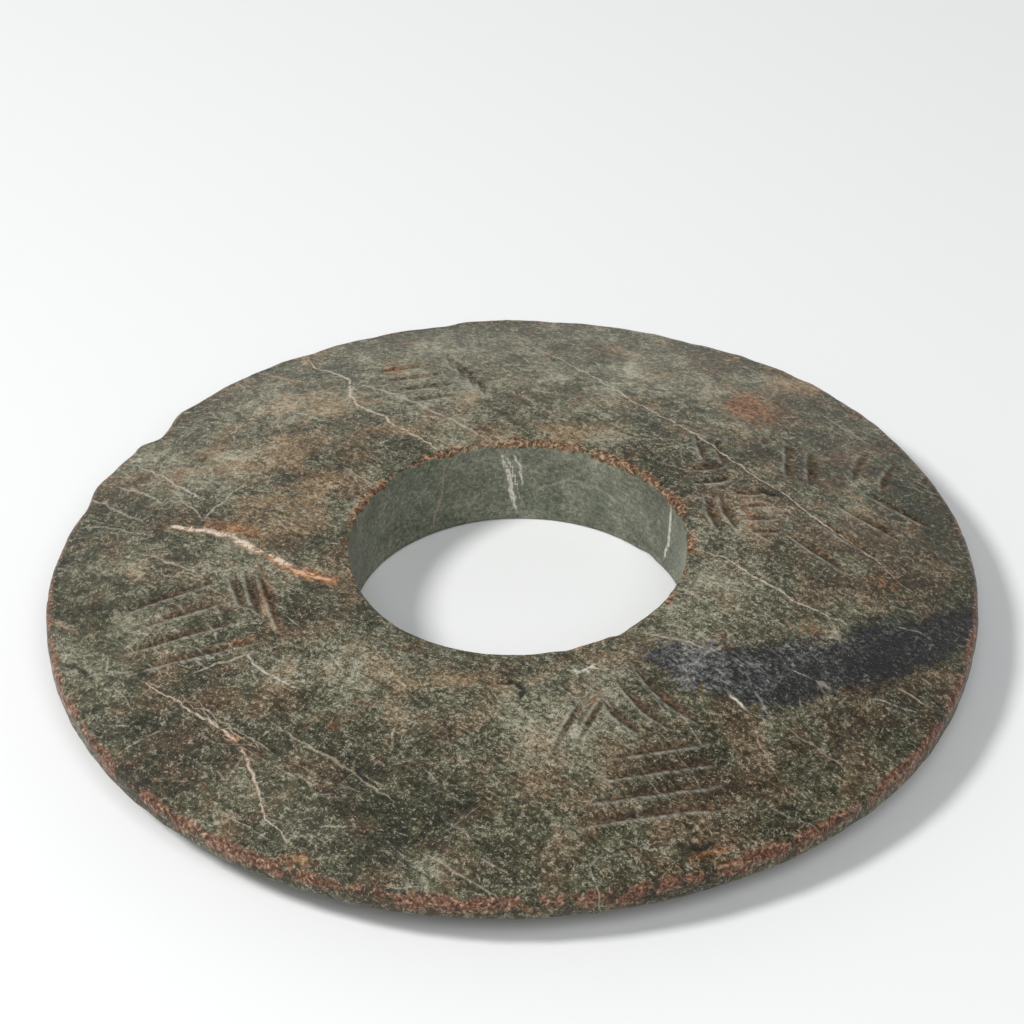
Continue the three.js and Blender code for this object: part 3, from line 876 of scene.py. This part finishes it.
def jade_material():
    """Dark olive stone, speckled and clouded, with stains, veins and a waxy wear."""
    graph = Graph("jade")
    noises = stone_noises(graph)
    names = [*STAINS, "stroke", "lip", "cleft", "wall", "crust", "rim", "band"]
    marks = SimpleNamespace(**{name: graph.attribute(name) for name in names})
    level = grain_level(graph, noises, marks)
    light = pale_grain(graph, noises, marks, level)
    scratches = scratch_share(graph, noises)
    ragged_crust = graph.math("ADD", marks.crust, graph.ramp(noises.mottle, 0.38, 0.62, -0.55, 0.3))
    ragged_rim = graph.math("ADD", marks.rim, graph.ramp(noises.mottle, 0.35, 0.65, -0.5, 0.3))
    crust_share = graph.ramp(ragged_crust, 0.42, 0.85)
    rim_share = graph.ramp(ragged_rim, 0.5, 0.85)

    colour = ground_colour(graph, noises, marks, level)
    colour = with_specks(graph, noises, marks, light, colour)
    # The wall's green, lightened as painted bounce light
    colour = graph.over(colour, graph.colours(level, WALL_GREEN_AND_BOUNCE_LIGHT), marks.wall, 0.8)
    colour = with_band(graph, noises, marks, level, light, colour)
    colour = graph.over(colour, graph.colours(noises.grain, CRUST_BROWN), crust_share, 0.85)
    colour = graph.over(colour, graph.colours(noises.grain, RIM_RED), rim_share, 0.8)
    colour = with_strokes(graph, noises, marks, colour)
    colour = with_veins(graph, noises, colour)
    colour = graph.over(colour, PALE_SCRATCH, scratches, 0.75)

    # Waxy on the ground, smoother on the worn rim, rougher in crust, strokes and light grain
    roughness = graph.ramp(noises.mottle, 0.35, 0.65, 0.34, 0.52)
    for share, value in ((graph.ramp(level, 0.5, 0.7), 0.58), (crust_share, 0.75),
                         (rim_share, 0.38), (marks.stroke, 0.72)):
        roughness = graph.blend(share, roughness, value)

    bump = graph.node("ShaderNodeBump")
    bump.inputs["Strength"].default_value = 0.55
    bump.inputs["Distance"].default_value = 0.3 * MM
    relief = graph.plus(noises.fine, [(level, 1.4), (noises.patch, 0.8), (scratches, -0.3)])
    graph.feed(bump.inputs["Height"], relief)

    shader = graph.node("ShaderNodeBsdfPrincipled")
    shader.inputs["IOR"].default_value = 1.5
    shader.inputs["Specular IOR Level"].default_value = 0.28
    graph.feed(shader.inputs["Base Color"], colour)
    graph.feed(shader.inputs["Roughness"], roughness)
    graph.feed(shader.inputs["Normal"], bump.outputs[0])
    output = graph.node("ShaderNodeOutputMaterial")
    graph.feed(output.inputs["Surface"], shader.outputs[0])
    return graph.material


def make_disc():
    mesh = plain_disc()
    refine_near_strokes(mesh)
    shape_and_paint(mesh)
    for polygon in mesh.polygons:
        polygon.use_smooth = True
    disc = bpy.data.objects.new("bi_disc_stone", mesh)
    bpy.context.scene.collection.objects.link(disc)
    mesh.materials.append(jade_material())
    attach(disc, "root")
    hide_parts("bi_disc")


def make_floor():
    graph = Graph("floor")
    shader = graph.node("ShaderNodeBsdfPrincipled")
    shader.inputs["Base Color"].default_value = (0.83, 0.84, 0.845, 1)
    shader.inputs["Roughness"].default_value = 0.8
    output = graph.node("ShaderNodeOutputMaterial")
    graph.feed(output.inputs["Surface"], shader.outputs[0])
    half = 6
    mesh = bpy.data.meshes.new("floor")
    below = -0.1 * MM
    mesh.from_pydata(
        [(-half, -half, below), (half, -half, below), (half, half, below), (-half, half, below)],
        [], [(0, 1, 2, 3)],
    )
    floor = bpy.data.objects.new("floor", mesh)
    bpy.context.scene.collection.objects.link(floor)
    mesh.materials.append(graph.material)


def add_lamp(name, direction, distance, size, watts, colour):
    """A disk-shaped lamp that faces the middle of the scene from a direction."""
    light = bpy.data.lights.new(name, "AREA")
    light.shape = "DISK"
    light.size = size
    light.energy = watts
    light.color = colour
    towards = Vector(direction).normalized()
    lamp = bpy.data.objects.new(name, light)
    lamp.location = towards * distance
    lamp.rotation_euler = towards.to_track_quat("Z", "Y").to_euler()
    bpy.context.scene.collection.objects.link(lamp)


def make_lights():
    """A key from the left and a wide fill in front, in a studio brightest near the ground."""
    world = bpy.data.worlds.new("studio")
    world.use_nodes = True
    tree = world.node_tree
    background = tree.nodes["Background"]
    direction = tree.nodes.new("ShaderNodeTexCoord")
    parts = tree.nodes.new("ShaderNodeSeparateXYZ")
    tree.links.new(direction.outputs["Generated"], parts.inputs[0])
    strength = tree.nodes.new("ShaderNodeMath")
    strength.operation = "MULTIPLY"
    # Each part of the direction, with its range and the strengths at the two ends of it
    fades = {"Z": (0.1, 0.75, 0.9, 0.13), "Y": (-0.8, 0.8, 0.35, 1.3)}
    for factor, (axis, values) in zip(strength.inputs, fades.items()):
        fade = tree.nodes.new("ShaderNodeMapRange")
        tree.links.new(parts.outputs[axis], fade.inputs[0])
        for socket, value in zip(fade.inputs[1:5], values):
            socket.default_value = value
        tree.links.new(fade.outputs[0], factor)
    tree.links.new(strength.outputs[0], background.inputs["Strength"])
    background.inputs["Color"].default_value = (0.985, 0.995, 1, 1)
    bpy.context.scene.world = world

    add_lamp("key", (-0.81, -0.18, 1), 1.5, 0.36, 16.5, (1, 0.99, 0.975))
    add_lamp("fill", (0.1, -0.64, 0.77), 2.5, 1.8, 31, (0.985, 0.995, 1))


def make_camera():
    """The photograph's view: 37 degrees down from the near side, and turned a little."""
    elevation = math.radians(37.39)
    roll = math.radians(-1.15)
    distance = 0.8437
    target = Vector((0.31, 27.36, 10)) * MM
    back = Vector((0, -math.cos(elevation), math.sin(elevation)))
    side = Vector((1, 0, 0))
    rise = back.cross(side)
    right = math.cos(roll) * side + math.sin(roll) * rise
    up = math.cos(roll) * rise - math.sin(roll) * side
    data = bpy.data.cameras.new("camera")
    data.sensor_width = 36
    data.lens = 134.12
    camera = bpy.data.objects.new("camera", data)
    turn = Matrix((right, up, back)).transposed().to_4x4()
    camera.matrix_world = Matrix.Translation(target + back * distance) @ turn
    bpy.context.scene.collection.objects.link(camera)
    bpy.context.scene.camera = camera


make_camera()
make_lights()
make_floor()
make_disc()
bpy.context.scene.view_settings.view_transform = "Standard"
bpy.context.scene.view_settings.look = "None"
